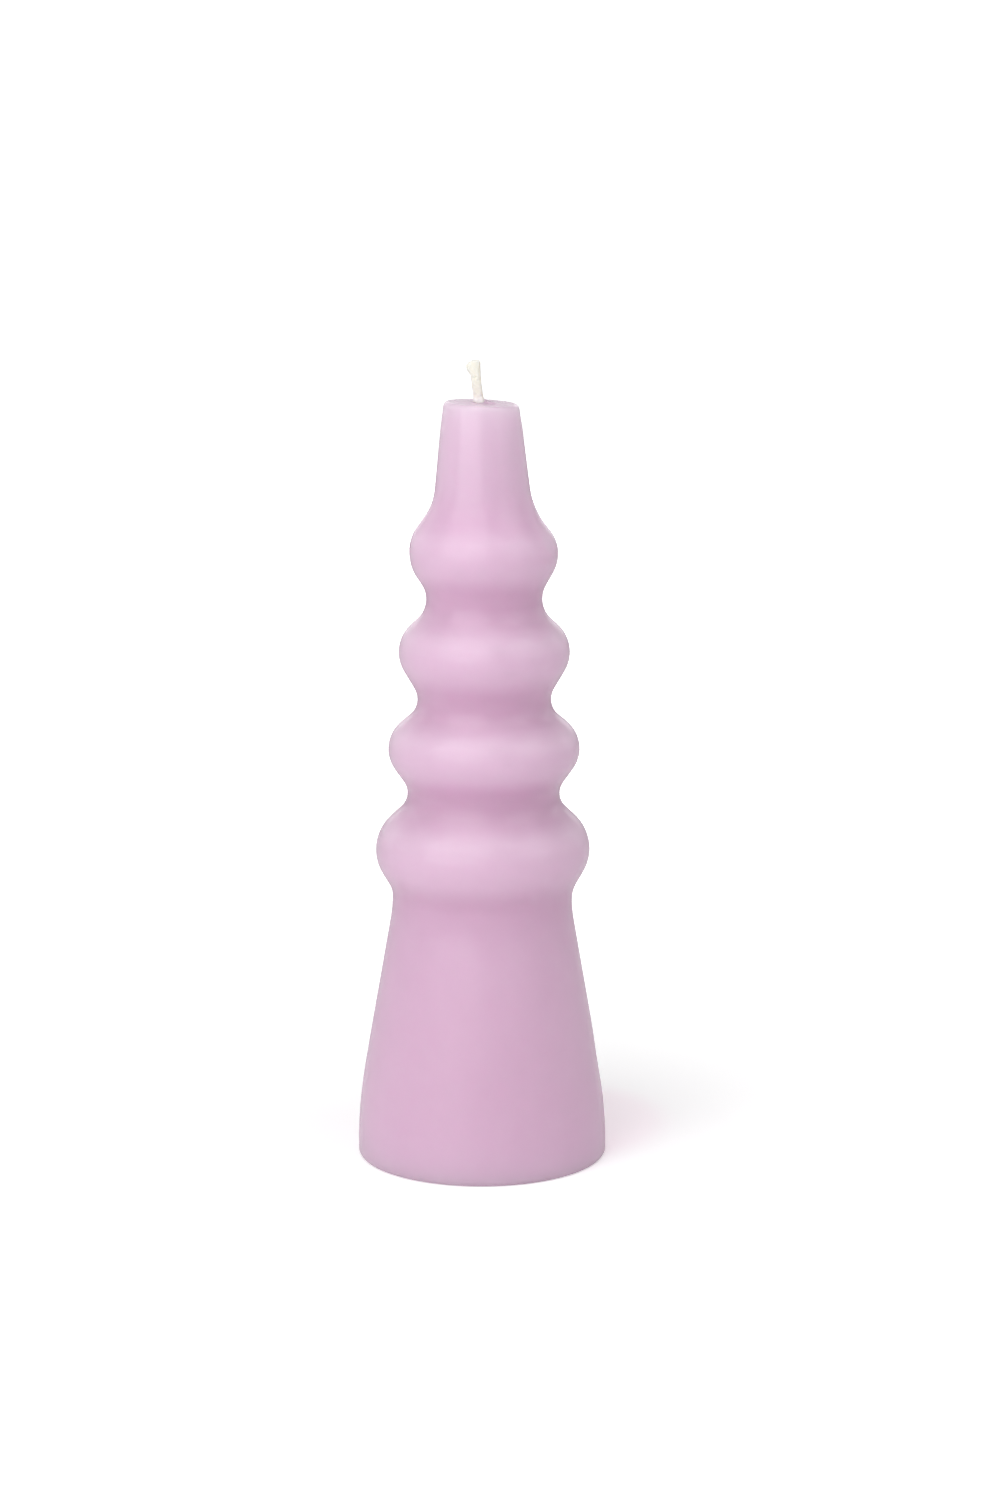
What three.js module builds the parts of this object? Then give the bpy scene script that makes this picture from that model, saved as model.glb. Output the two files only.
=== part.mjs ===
// Totem candle: a tall moulded wax pillar with a wide skirt and stacked rings that shrink upwards, its braided
// wick, and the pressed metal tab that holds the wick's foot in the base.
// Millimetres, +Z up. The origin is the centre of the base, on the surface that the candle stands on.

import * as THREE from 'three';

// Driving dimensions of the wax. Each rise is the height above the feature below, so the rises add up to the
// candle's height, and each radius is the one that a caliper finds there.
const baseRadius = 29.6;
const footRound = 0.85; // rounding of the bottom edge
const skirtRound = 132; // the skirt leans in on one long, bowed curve
const skirtHeight = 63; // from the base to the lowest waist
const flareRound = 35; // hollow curve that takes the skirt into the lowest waist

// Rings, the lowest first. Each is a hollow waist and the full bead above it, which stands out from the waist.
const waist1Radius = 21.15;
const waist1Round = 6.8;
const bead1Rise = 11.25;
const bead1Out = 4;
const bead1Round = 9.9;

const waist2Rise = 13.55;
const waist2Radius = 17.85;
const waist2Round = 5.4;
const bead2Rise = 10.65;
const bead2Out = 4.6;
const bead2Round = 7.45;

const waist3Rise = 11.85;
const waist3Radius = 15.65;
const waist3Round = 5.6;
const bead3Rise = 11.2;
const bead3Out = 4.35;
const bead3Round = 8.2;

const waist4Rise = 12.65;
const waist4Radius = 13.5;
const waist4Round = 7;
const bead4Rise = 10.8;
const bead4Out = 3.75;
const bead4Round = 9;

// Neck: a hollow curve above the top bead that runs on as a slim cone to the flat top.
const neckRise = 16.95;
const neckRadius = 10.9;
const neckRound = 16.7;
const topRise = 18.1;
const topRadius = 8.85;
const topRound = 1.25;
const nubRadius = 2.3; // low nub of wax that creeps up the wick where it leaves the top
const nubRise = 0.7;
const mouthWall = 0.4; // thickness of the nub's lip
const mouthDepth = 2; // the bore widens over this depth below the top

// Wick: square braid, trimmed short, leaning to one side with its tip splayed.
const wickWidth = 2.2;
const wickStub = 9.6; // what stands above the top
const wickLean = 1.35; // how far the tip leans to -X
const wickBendDepth = 0.8; // the lean starts this far below the top
const tipFlare = 1; // how far the splayed tip stands out on the side that it leans to
const tipFlareHeight = 3.6; // length of the splayed end
const tipSlant = 0.3; // rise of the trimmed end for each millimetre across
const wickFit = 0.3; // clearance round the wick

// Wick tab: a pressed disc with a domed centre and a drawn neck, crimped on the wick.
const tabRadius = 9;
const tabThickness = 0.4;
const tabInset = 0.4; // the disc sits this far up in the base
const domeRadius = 5;
const domeRise = 0.6;
const neckTubeHeight = 6;
const neckTubeFit = 0.65; // clearance between the wick and the tube, below the crimp
const crimpHeight = 1.6;
const tabFit = 0.3; // clearance between the tab and the wax

// Fineness of the turned surfaces.
const bodySegments = 60;
const tabSegments = 36;
const wickSides = 12;
const wickStations = 14;
const arcTolerance = 0.06; // how far a chord may lie inside its arc
const longestArcStep = THREE.MathUtils.degToRad(25);

// Turning circles of the wax profile. A bead is full and reaches out to its radius.
function bead(height, radius, round) {
  return { height, radius, round, bulge: 1 };
}

// A waist is hollow and reaches in to its radius.
function waist(height, radius, round) {
  return { height, radius, round, bulge: -1 };
}

// Two neighbouring turnings that would run into each other get smaller rounds, until they just touch.
function limitRounds(turnings) {
  const limited = turnings.map((turn) => ({ ...turn }));
  for (let i = 1; i < turnings.length; i++) {
    const below = turnings[i - 1];
    const above = turnings[i];
    if (below.bulge === above.bulge) continue;
    const rise = above.height - below.height;
    const reach = Math.abs(above.radius - below.radius);
    const room = (rise * rise + reach * reach) / (2 * reach);
    const share = Math.min(1, room / (below.round + above.round));
    limited[i - 1].round = Math.min(limited[i - 1].round, below.round * share);
    limited[i].round = Math.min(limited[i].round, above.round * share);
  }
  return limited;
}

function centreOf(turn) {
  return new THREE.Vector2(turn.radius - turn.bulge * turn.round, turn.height);
}

// Outward normal of the straight flank that touches two turnings, like a belt round two pulleys.
function flankNormal(below, above) {
  const apart = centreOf(above).sub(centreOf(below));
  const distance = apart.length();
  const along = apart.divideScalar(distance);
  const outward = new THREE.Vector2(along.y, -along.x);
  const lean = THREE.MathUtils.clamp((below.bulge * below.round - above.bulge * above.round) / distance, -1, 1);
  const level = Math.sqrt(1 - lean * lean);
  return along.multiplyScalar(lean).add(outward.multiplyScalar(level));
}

// The profile from the first turning to the last: an arc on each, joined by straight flanks.
function turnedProfile(turnings) {
  const limited = limitRounds(turnings);
  const down = new THREE.Vector2(0, -1);
  const up = new THREE.Vector2(0, 1);
  const points = [];
  for (let i = 0; i < limited.length; i++) {
    const turn = limited[i];
    const from = i === 0 ? down : flankNormal(limited[i - 1], turn);
    const to = i === limited.length - 1 ? up : flankNormal(turn, limited[i + 1]);
    const start = Math.atan2(from.y, from.x);
    const sweep = Math.atan2(to.y, to.x) - start;
    const arcStep = Math.min(longestArcStep, 2 * Math.sqrt((2 * arcTolerance) / turn.round));
    const steps = Math.max(1, Math.ceil(Math.abs(sweep) / arcStep));
    const centre = centreOf(turn);
    for (let k = 0; k <= steps; k++) {
      const angle = start + (sweep * k) / steps;
      const offset = new THREE.Vector2(Math.cos(angle), Math.sin(angle)).multiplyScalar(turn.bulge * turn.round);
      points.push(offset.add(centre));
    }
  }
  return points;
}

// Drops points that lie on their neighbour, which a flank of no length leaves.
function withoutRepeats(points) {
  const shortest = 0.02;
  return points.filter((point, i) => i === 0 || point.distanceTo(points[i - 1]) > shortest);
}

// A revolved solid of a closed profile, given in order round the section, outer side upwards.
function revolve(points, segments) {
  const loop = withoutRepeats(points);
  loop.push(loop[0].clone());
  const geometry = new THREE.LatheGeometry(loop, segments);
  return geometry.rotateX(Math.PI / 2); // the lathe's +Y axis becomes +Z
}

function point(radius, height) {
  return new THREE.Vector2(radius, height);
}

// Heights and radii that several pieces share.
const waist1Height = skirtHeight;
const bead1Height = waist1Height + bead1Rise;
const waist2Height = bead1Height + waist2Rise;
const bead2Height = waist2Height + bead2Rise;
const waist3Height = bead2Height + waist3Rise;
const bead3Height = waist3Height + bead3Rise;
const waist4Height = bead3Height + waist4Rise;
const bead4Height = waist4Height + bead4Rise;
const neckHeight = bead4Height + neckRise;
const topHeight = neckHeight + topRise;
const boreRadius = wickWidth / 2 + wickFit;
const mouthRadius = Math.max(boreRadius, nubRadius - mouthWall);
const discTop = tabInset + tabThickness;
const tubeBore = wickWidth / 2 + neckTubeFit;
const crimpBore = wickWidth / 2 + wickFit;
const tubeTop = discTop + domeRise + neckTubeHeight;

function waxBody() {
  const outside = turnedProfile([
    bead(footRound, baseRadius, footRound),
    bead(0, baseRadius, skirtRound),
    waist(waist1Height, waist1Radius, flareRound),
    waist(waist1Height, waist1Radius, waist1Round),
    bead(bead1Height, waist1Radius + bead1Out, bead1Round),
    waist(waist2Height, waist2Radius, waist2Round),
    bead(bead2Height, waist2Radius + bead2Out, bead2Round),
    waist(waist3Height, waist3Radius, waist3Round),
    bead(bead3Height, waist3Radius + bead3Out, bead3Round),
    waist(waist4Height, waist4Radius, waist4Round),
    bead(bead4Height, waist4Radius + bead4Out, bead4Round),
    waist(neckHeight, neckRadius, neckRound),
    bead(topHeight - topRound, topRadius, topRound),
  ]);
  const pocketRadius = tubeBore + tabThickness + tabFit;
  const recessRadius = tabRadius + tabFit;
  const recessTop = discTop + tabFit;
  const inside = [
    point(nubRadius, topHeight),
    point(nubRadius - mouthWall / 3, topHeight + nubRise / 2),
    point(mouthRadius + mouthWall / 2, topHeight + nubRise),
    point(mouthRadius, topHeight + nubRise),
    point(boreRadius, topHeight - mouthDepth),
    point(boreRadius, tubeTop + tabFit),
    point(pocketRadius, tubeTop + tabFit),
    point(pocketRadius, recessTop + domeRise),
    point(domeRadius, recessTop + domeRise),
    point(domeRadius + domeRise, recessTop),
    point(recessRadius, recessTop),
    point(recessRadius, 0),
  ];
  return revolve([...outside, ...inside], bodySegments);
}

// The tab's section is one strip of sheet: disc, dome, then the neck tube with its rolled crimp.
function wickTab() {
  const crimpMiddle = tubeTop - crimpHeight;
  const crimpLow = crimpMiddle - crimpHeight / 2;
  const crimpHigh = crimpMiddle + crimpHeight / 2;
  const domeTop = discTop + domeRise;
  const skin = (wall) => [
    point(tubeBore + wall, crimpLow),
    point(crimpBore + wall, crimpMiddle),
    point(tubeBore + wall, crimpHigh),
    point(tubeBore + wall, tubeTop),
  ];
  const outer = [
    point(tabRadius, tabInset),
    point(tabRadius, discTop),
    point(domeRadius, discTop),
    point(domeRadius - domeRise, domeTop),
    point(tubeBore + tabThickness, domeTop),
    ...skin(tabThickness),
  ];
  const inner = [
    ...skin(0).reverse(),
    point(tubeBore, domeTop - tabThickness),
    point(domeRadius - domeRise, domeTop - tabThickness),
    point(domeRadius, tabInset),
  ];
  return revolve([...outer, ...inner], tabSegments);
}

// A closed solid through level rings, lowest first. Each ring is a list of points at the same bearings.
function loft(levels) {
  const sides = levels[0].length;
  const positions = levels.flat().flatMap((corner) => corner.toArray());
  const faces = [];
  for (let level = 0; level < levels.length - 1; level++) {
    for (let side = 0; side < sides; side++) {
      const next = (side + 1) % sides;
      const a = level * sides + side;
      const b = level * sides + next;
      faces.push(a, b, b + sides, a, b + sides, a + sides);
    }
  }
  const last = (levels.length - 1) * sides;
  for (let side = 1; side < sides - 1; side++) {
    faces.push(0, side + 1, side, last, last + side, last + side + 1);
  }
  const geometry = new THREE.BufferGeometry();
  geometry.setAttribute('position', new THREE.Float32BufferAttribute(positions, 3));
  geometry.setIndex(faces);
  geometry.computeVertexNormals();
  return geometry;
}

// One level of the wick: a square with well rounded corners, as a square braid has.
function braidSection(centre, halfWidth, halfDepth, slant) {
  const squareness = 0.7; // 1 is round, 0 is square
  const corners = [];
  for (let side = 0; side < wickSides; side++) {
    const bearing = (2 * Math.PI * (side + 0.5)) / wickSides;
    const across = Math.sign(Math.cos(bearing)) * Math.abs(Math.cos(bearing)) ** squareness * halfWidth;
    const deep = Math.sign(Math.sin(bearing)) * Math.abs(Math.sin(bearing)) ** squareness * halfDepth;
    corners.push(new THREE.Vector3(centre.x + across, centre.y + deep, centre.z + slant * across));
  }
  return corners;
}

// The wick runs straight up the bore, leans over above it, and swells to one side where its strands splay.
function wick() {
  const half = wickWidth / 2;
  const bendHeight = topHeight - wickBendDepth;
  const tipHeight = topHeight + wickStub - tipSlant * half;
  const levels = [braidSection(new THREE.Vector3(0, 0, tabInset), half, half, 0)];
  for (let i = 0; i <= wickStations; i++) {
    const share = i / wickStations;
    const height = THREE.MathUtils.lerp(bendHeight, tipHeight, share);
    const splayed = Math.max(0, (height - tipHeight + tipFlareHeight) / tipFlareHeight);
    const flare = tipFlare * Math.sin(Math.PI * splayed ** 1.2);
    const lean = wickLean * Math.sin((Math.PI / 2) * share);
    const centre = new THREE.Vector3(-lean - flare / 2, 0, height);
    levels.push(braidSection(centre, half + flare / 2, half, tipSlant * splayed));
  }
  return loft(levels);
}

function piece(name, geometry, colour, roughness, metalness) {
  const material = new THREE.MeshStandardMaterial({ color: colour, roughness, metalness });
  const mesh = new THREE.Mesh(geometry, material);
  mesh.name = name;
  return mesh;
}

const candle = new THREE.Group();
candle.name = 'totem_candle';
candle.add(piece('wax_body', waxBody(), '#d9b4cf', 0.45, 0));
candle.add(piece('wick', wick(), '#f3efe2', 0.9, 0));
candle.add(piece('wick_tab', wickTab(), '#c3c6c9', 0.35, 1));

export default candle;
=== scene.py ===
import math
import random

import bpy
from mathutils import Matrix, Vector, noise


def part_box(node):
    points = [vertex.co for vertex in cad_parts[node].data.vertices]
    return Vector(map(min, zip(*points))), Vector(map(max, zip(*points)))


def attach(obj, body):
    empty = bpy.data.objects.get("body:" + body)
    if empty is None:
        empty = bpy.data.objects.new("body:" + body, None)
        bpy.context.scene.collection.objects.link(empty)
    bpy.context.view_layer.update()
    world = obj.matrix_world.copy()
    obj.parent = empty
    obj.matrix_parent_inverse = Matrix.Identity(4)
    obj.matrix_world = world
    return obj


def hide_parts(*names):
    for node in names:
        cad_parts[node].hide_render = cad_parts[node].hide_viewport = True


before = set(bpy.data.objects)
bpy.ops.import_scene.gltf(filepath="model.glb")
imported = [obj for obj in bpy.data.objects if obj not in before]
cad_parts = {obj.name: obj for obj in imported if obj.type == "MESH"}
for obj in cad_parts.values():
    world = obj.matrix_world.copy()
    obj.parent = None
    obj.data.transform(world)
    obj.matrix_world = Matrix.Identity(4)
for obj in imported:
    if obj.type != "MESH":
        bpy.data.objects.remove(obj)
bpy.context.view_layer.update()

MM = 0.001
TURN = 2 * math.pi

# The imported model's sizes.
WAX_TOP = 180 * MM
WICK_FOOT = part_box("wick")[0].z
WICK_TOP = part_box("wick")[1].z
TAB_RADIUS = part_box("wick_tab")[1].x
TAB_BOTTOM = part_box("wick_tab")[0].z
TAB_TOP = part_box("wick_tab")[1].z

# How the wick runs: off centre at the top of the wax, leaning to -X, with a splayed and cut tip.
WICK_HALF = 1.1 * MM
WICK_ASIDE = 0.38 * MM
ASIDE_FROM = WAX_TOP - 16 * MM
WICK_LEAN = 1.02 * MM
BEND_HEIGHT = WAX_TOP - 0.8 * MM
WICK_CUT = WICK_TOP + 0.22 * MM
TIP_FLARE = 1.0 * MM
TIP_FLARE_HEIGHT = 3.6 * MM
TIP_FLARE_POWER = 1.2


def clamp(value, low=0.0, high=1.0):
    """The value, kept between low and high."""
    return max(low, min(high, value))


def smooth_step(value, low, high):
    """0 below low, 1 above high, and a smooth rise from one to the other."""
    share = clamp((value - low) / (high - low))
    return share * share * (3 - 2 * share)


def between(value, rise, fall):
    """1 between two soft edges and 0 outside them; each edge is a pair, its start and its end."""
    return smooth_step(value, *rise) * (1 - smooth_step(value, *fall))


def hump(value, middle, spread):
    """1 at the middle, and a smooth fall to both sides."""
    return math.exp(-(((value - middle) / spread) ** 2))


def noise_round(angle, layer, fineness=1.0):
    """Smooth noise that closes on itself round a circle, with a layer to choose."""
    return noise.noise(Vector((math.cos(angle), math.sin(angle), layer)) * fineness)


def squared(angle):
    """Radius factor that turns a circle into a square with round corners."""
    power = 3.2
    return (abs(math.cos(angle)) ** power + abs(math.sin(angle)) ** power) ** (-1 / power)


def mesh_piece(name, vertices, faces, material):
    """A smooth-shaded mesh object in the scene, with one material."""
    mesh = bpy.data.meshes.new(name)
    mesh.from_pydata(vertices, [], faces)
    mesh.validate()
    mesh.shade_smooth()
    mesh.materials.append(material)
    piece = bpy.data.objects.new(name, mesh)
    bpy.context.scene.collection.objects.link(piece)
    return piece


def ring_faces(ring_count, side_count, first=0, closed=False):
    """Quads between rings of points, each ring following the one before."""
    faces = []
    for ring in range(ring_count if closed else ring_count - 1):
        below = first + ring * side_count
        above = first + (ring + 1) % ring_count * side_count
        for side in range(side_count):
            after = (side + 1) % side_count
            faces.append((below + side, below + after, above + after, above + side))
    return faces


def rounded(corners, radius, steps=5):
    """A line through corners, with each inner corner rounded by an arc-like curve."""
    line = [corners[0]]
    for before, corner, after in zip(corners, corners[1:], corners[2:]):
        to_before, to_after = before - corner, after - corner
        reach = min(radius, to_before.length / 2, to_after.length / 2)
        start = corner + to_before.normalized() * reach
        end = corner + to_after.normalized() * reach
        for step in range(steps + 1):
            t = step / steps
            line.append(start * (1 - t) ** 2 + corner * 2 * t * (1 - t) + end * t * t)
    line.append(corners[-1])
    return line


def along(line, step):
    """Points at an even spacing of about step along a line, both ends kept."""
    lengths = [0.0]
    for a, b in zip(line, line[1:]):
        lengths.append(lengths[-1] + (b - a).length)
    count = max(1, round(lengths[-1] / step))
    points, part = [], 0
    for i in range(count + 1):
        target = lengths[-1] * i / count
        while part < len(line) - 2 and lengths[part + 1] < target:
            part += 1
        span = lengths[part + 1] - lengths[part]
        share = (target - lengths[part]) / span if span > 0 else 0.0
        points.append(line[part].lerp(line[part + 1], share))
    return points


# Wax body.

WAX_SEGMENTS = 180
CURVE_STEP = 0.1 * MM
SKIN_STEP = 0.58 * MM

# How the cast wax departs from a turned form. A pair is where a change starts and where it ends.
BOW = 0.62 * MM
BOW_RISE = (45 * MM, 115 * MM)
BOW_FALL = (130 * MM, 182 * MM)
TOP_TILT = 0.045
TILT_DEPTH = 7 * MM
SWELL = 0.10 * MM
SWELL_LENGTH = 30 * MM
RIPPLE = 0.025 * MM
RIPPLE_LENGTH = 7 * MM
FREE_OF_FOOT = (0, 4 * MM)
FREE_OF_BORE = (1.5 * MM, 4 * MM)
LED_BY_WICK = (1.4 * MM, 3.2 * MM)
TOP_SKIN = 1.5 * MM

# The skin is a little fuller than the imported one, and the edge of the top a little squarer.
FULLER = 0.10 * MM
FULLER_RISE = (1 * MM, 5 * MM)
FULLER_FALL = (WAX_TOP - 6 * MM, WAX_TOP - 2 * MM)
TOP_EDGE_ROUND = 1.25 * MM
RIM_SQUARENESS = 0.5

# Where one side of the casting is fuller than the other: (side, height, spread, push).
LOPSIDED = (
    (-1, 152.0 * MM, 3.2 * MM, 0.34 * MM),
    (-1, 140.0 * MM, 2.2 * MM, 0.22 * MM),
    (1, 151.0 * MM, 2.8 * MM, -0.20 * MM),
    (1, 65.5 * MM, 2.6 * MM, 0.22 * MM),
    (1, 22.0 * MM, 5.0 * MM, -0.18 * MM),
)

# Shallow hollow that an air bubble left in front: (centre, radius, depth).
FRONT_DENT = (Vector((1.9 * MM, -18.9 * MM, 95.9 * MM)), 1.0 * MM, 0.10 * MM)

# The other hollows, at seeded places, with their lengths in millimetres.
DENT_SEED = 11
DENT_COUNT = 26
DENT_SHIFT = 2
DENT_RADII = (0.9, 1.6)
DENT_DEPTHS = (0.03, 0.08)

# Inside of the wax: closed on the wick at the top, then its bore, then the recess for the tab.
SEAL = 0.3 * MM
SEAL_TOP = WAX_TOP - 0.2 * MM
SEAL_FOOT = WAX_TOP - 9 * MM
BORE = WICK_HALF + 0.2 * MM
BORE_TOP = WAX_TOP - 10 * MM
NECK_ROOM = 2.45 * MM
NECK_ROOM_TOP = TAB_TOP + 0.3 * MM
DOME_ROOM_TOP_RADIUS = 5.0 * MM
DOME_ROOM_FOOT_RADIUS = 5.6 * MM
DOME_ROOM_RISE = 0.6 * MM
RECESS = TAB_RADIUS + 0.3 * MM
RECESS_ROOF = TAB_BOTTOM + 0.7 * MM
RECESS_ROUNDING = 0.25 * MM
BORE_STEP = 8 * MM
RECESS_STEP = 0.7 * MM

# The set surface of the top: a dish, ripples as (height, length), and a crater beside the wick.
DISH_DEPTH = 0.06 * MM
DISH_INNER = (1.6 * MM, 3 * MM)
DISH_OUTER = (3 * MM, 8 * MM)
TOP_RIPPLES = ((0.045 * MM, 1.9 * MM), (0.03 * MM, 0.9 * MM))
CRATER_X = 2.55 * MM
CRATER_Y = -0.5 * MM
CRATER_RADIUS = 0.85 * MM
CRATER_DEPTH = 0.34 * MM
CRATER_LIP = 0.26 * MM
HOLE_SPREAD = 0.6
LIP_AT = 1.1
LIP_SPREAD = 0.35

# The low wax lip round the wick's foot.
COLLAR_EDGE = 1.25 * MM
COLLAR_LEAST = 0.08 * MM
COLLAR_BOTH_SIDES = 0.26 * MM
COLLAR_BEHIND_LEAN = 0.50 * MM
COLLAR_WIDTH = 0.55 * MM
COLLAR_WIDER = 0.25 * MM
COLLAR_TURNED = 0.15
COLLAR_UNEVEN = 0.5
COLLAR_LAYER = 3.1
COLLAR_FINENESS = 1.7
COLLAR_FALL = 1.5

# Tone over the height: painted shade in the waists, and a painted highlight where the rings face
# up.
WAIST_LOOK = 9 * MM
WAIST_DEPTH = 2.4 * MM
WAIST_RISE = (50 * MM, 62 * MM)
WAIST_FALL = (150 * MM, 160 * MM)
WAIST_GAIN = 0.6
EVEN_TONE = 0.4
SLOPE_HIGHLIGHT_RISE = (62 * MM, 70 * MM)
SLOPE_HIGHLIGHT_FALL = (143 * MM, 153 * MM)
SLOPE_HIGHLIGHT_STEEPNESS = 0.65


def packed_outline():
    """(radius, height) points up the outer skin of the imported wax, from foot to flat top."""
    least_outward = 0.05
    hair = 0.01 * MM
    digits = 6
    widest = {}
    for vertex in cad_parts["wax_body"].data.vertices:
        radius = math.hypot(vertex.co.x, vertex.co.y)
        outward = vertex.normal.x * vertex.co.x + vertex.normal.y * vertex.co.y
        height = round(vertex.co.z, digits)
        if outward > least_outward * radius and height < WAX_TOP + hair:
            widest[height] = max(widest.get(height, 0.0), radius)
    return [Vector((widest[height], height)) for height in sorted(widest)]


def curve_through(points, step):
    """A smooth curve through points, as evenly spaced points."""
    line = []
    for i in range(len(points) - 1):
        a, b = points[i], points[i + 1]
        before = points[i - 1] if i > 0 else a * 2 - b
        after = points[i + 2] if i < len(points) - 2 else b * 2 - a
        chord = (b - a).length
        leave = ((b - before) / ((a - before).length + chord)) * chord
        arrive = ((after - a) / ((after - b).length + chord)) * chord
        count = max(2, math.ceil(chord / step))
        for k in range(count):
            t = k / count
            line.append(
                a * (2 * t**3 - 3 * t**2 + 1)
                + leave * (t**3 - 2 * t**2 + t)
                + b * (3 * t**2 - 2 * t**3)
                + arrive * (t**3 - t**2)
            )
    line.append(points[-1])
    return line


def fuller(skin):
    """Moves the skin a little outwards, square to itself; its two ends stay where they are."""
    moved = []
    for i, spot in enumerate(skin):
        run = (skin[min(i + 1, len(skin) - 1)] - skin[max(i - 1, 0)]).normalized()
        free = between(spot.y, FULLER_RISE, FULLER_FALL)
        moved.append(spot + Vector((run.y, -run.x)) * FULLER * free)
    return moved


def squarer_rim(skin):
    """Draws the rounded edge of the top a little further out into its corner."""
    middle = Vector((skin[-1].x, WAX_TOP - TOP_EDGE_ROUND))
    moved = []
    for spot in skin:
        reach = spot - middle
        if reach.y > 0:
            reach *= 1 + RIM_SQUARENESS * (squared(math.atan2(reach.y, reach.x)) - 1)
        moved.append(middle + reach)
    return moved


def top_line(rim):
    """Points in over the flat top from its rim, finer near the wick, then down the seal on it."""
    coarse_step = 0.35 * MM
    fine_from = 2.5 * MM
    fine = (2.3, 2.15, 2.0, 1.85, 1.7, 1.6, 1.5, 1.4, 1.3, 1.2, 1.0)
    coarse_count = int((rim - fine_from) / coarse_step) + 1
    radii = [rim - coarse_step * i for i in range(coarse_count)]
    radii += [radius * MM for radius in fine]
    line = [Vector((radius, WAX_TOP)) for radius in radii]
    line.append(Vector((SEAL, SEAL_TOP)))
    line.append(Vector((SEAL, SEAL_FOOT)))
    return line


def wax_section():
    """The closed section of the wax: outer skin, top, bore, the tab's recess and base."""
    outline = packed_outline()
    foot, top = outline[0], outline[-1]
    skin = squarer_rim(fuller(along(curve_through(outline, CURVE_STEP), SKIN_STEP)))
    inside = [
        Vector((BORE, BORE_TOP)),
        Vector((BORE, NECK_ROOM_TOP)),
        Vector((NECK_ROOM, NECK_ROOM_TOP)),
        Vector((NECK_ROOM, RECESS_ROOF + DOME_ROOM_RISE)),
        Vector((DOME_ROOM_TOP_RADIUS, RECESS_ROOF + DOME_ROOM_RISE)),
        Vector((DOME_ROOM_FOOT_RADIUS, RECESS_ROOF)),
        Vector((RECESS, RECESS_ROOF)),
        Vector((RECESS, 0)),
        Vector((foot.x, 0)),
    ]
    long_bore = along(inside[:2], BORE_STEP)
    base_line = along(rounded(inside[1:], RECESS_ROUNDING), RECESS_STEP)
    return skin + top_line(top.x)[1:] + long_bore + base_line[1:-1]


def dents():
    """The shallow hollows as (centre, radius, depth): one in front, the others at seeded places."""
    draw = random.Random(DENT_SEED)
    clear_of_ends = packed_outline()[6:-3]
    places = [FRONT_DENT]
    for _ in range(DENT_COUNT):
        spot = draw.choice(clear_of_ends)
        angle = draw.uniform(0, TURN)
        height = spot.y + draw.uniform(-DENT_SHIFT, DENT_SHIFT) * MM
        centre = Vector((spot.x * math.cos(angle), spot.x * math.sin(angle), height))
        radius = draw.uniform(*DENT_RADII) * MM
        depth = draw.uniform(*DENT_DEPTHS) * MM
        places.append((centre, radius, depth))
    return places


def side_push(point, outward, hollows):
    """How far the skin stands out there: swells and ripples, the hollows, and the fuller sides."""
    push = SWELL * noise.noise(point / SWELL_LENGTH) + RIPPLE * noise.noise(point / RIPPLE_LENGTH)
    for centre, reach, depth in hollows:
        apart = (point - centre).length_squared / reach**2
        if apart < 1:
            push -= depth * (1 - apart) ** 2
    for side, height, spread, amount in LOPSIDED:
        facing = max(0.0, side * outward.x) ** 2
        push += amount * facing * hump(point.z, height, spread)
    return push


def cast(point, hollows):
    """Moves a point of the turned form to where the cast wax has it."""
    radius = math.hypot(point.x, point.y)
    outward = Vector((point.x, point.y, 0)) / max(radius, 1e-6)
    free = smooth_step(point.z, *FREE_OF_FOOT) * smooth_step(radius, *FREE_OF_BORE)
    moved = point + outward * side_push(point, outward, hollows) * free
    on_top = smooth_step(point.z, WAX_TOP - TOP_SKIN, WAX_TOP)
    if on_top > 0:
        moved.z += (top_relief(point) + collar(point)) * on_top
    led = 1 - smooth_step(radius, *LED_BY_WICK)
    moved.x += bow(point.z) + wick_aside(moved.z) * led
    moved.z -= TOP_TILT * point.x * smooth_step(point.z, WAX_TOP - TILT_DEPTH, WAX_TOP)
    return moved


def bow(height):
    """How far the casting stands out to +X at a height."""
    return BOW * between(height, BOW_RISE, BOW_FALL)


def top_relief(point):
    """Height that the set surface of the top adds: a faint dish, ripples and one small crater."""
    radius = math.hypot(point.x, point.y)
    dish = -DISH_DEPTH * between(radius, DISH_INNER, DISH_OUTER)
    ripple = sum(height * noise.noise(point / length) for height, length in TOP_RIPPLES)
    across = Vector((point.x - CRATER_X, point.y - CRATER_Y)).length / CRATER_RADIUS
    hole = -CRATER_DEPTH * hump(across, 0, HOLE_SPREAD)
    lip = CRATER_LIP * hump(across, LIP_AT, LIP_SPREAD)
    return dish + ripple + hole + lip


def collar(point):
    """Height of the wax lip round the wick's foot, highest where the wick leans away from it."""
    radius = math.hypot(point.x, point.y)
    bearing = math.atan2(point.y, point.x)
    behind = max(0.0, math.cos(bearing + COLLAR_TURNED)) ** 2
    sides = math.cos(bearing) ** 2
    climb = COLLAR_LEAST + COLLAR_BOTH_SIDES * sides + COLLAR_BEHIND_LEAN * behind
    climb *= 1 + COLLAR_UNEVEN * noise_round(bearing, COLLAR_LAYER, COLLAR_FINENESS)
    reach = COLLAR_WIDTH + COLLAR_WIDER * behind
    return climb * math.exp(-((max(0.0, radius - COLLAR_EDGE) / reach) ** COLLAR_FALL))


def radius_at(outline, height):
    """The outline's radius at a height."""
    for low, high in zip(outline, outline[1:]):
        if height <= high.y:
            share = clamp((height - low.y) / max(high.y - low.y, 1e-9))
            return low.x + (high.x - low.x) * share
    return outline[-1].x


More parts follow.
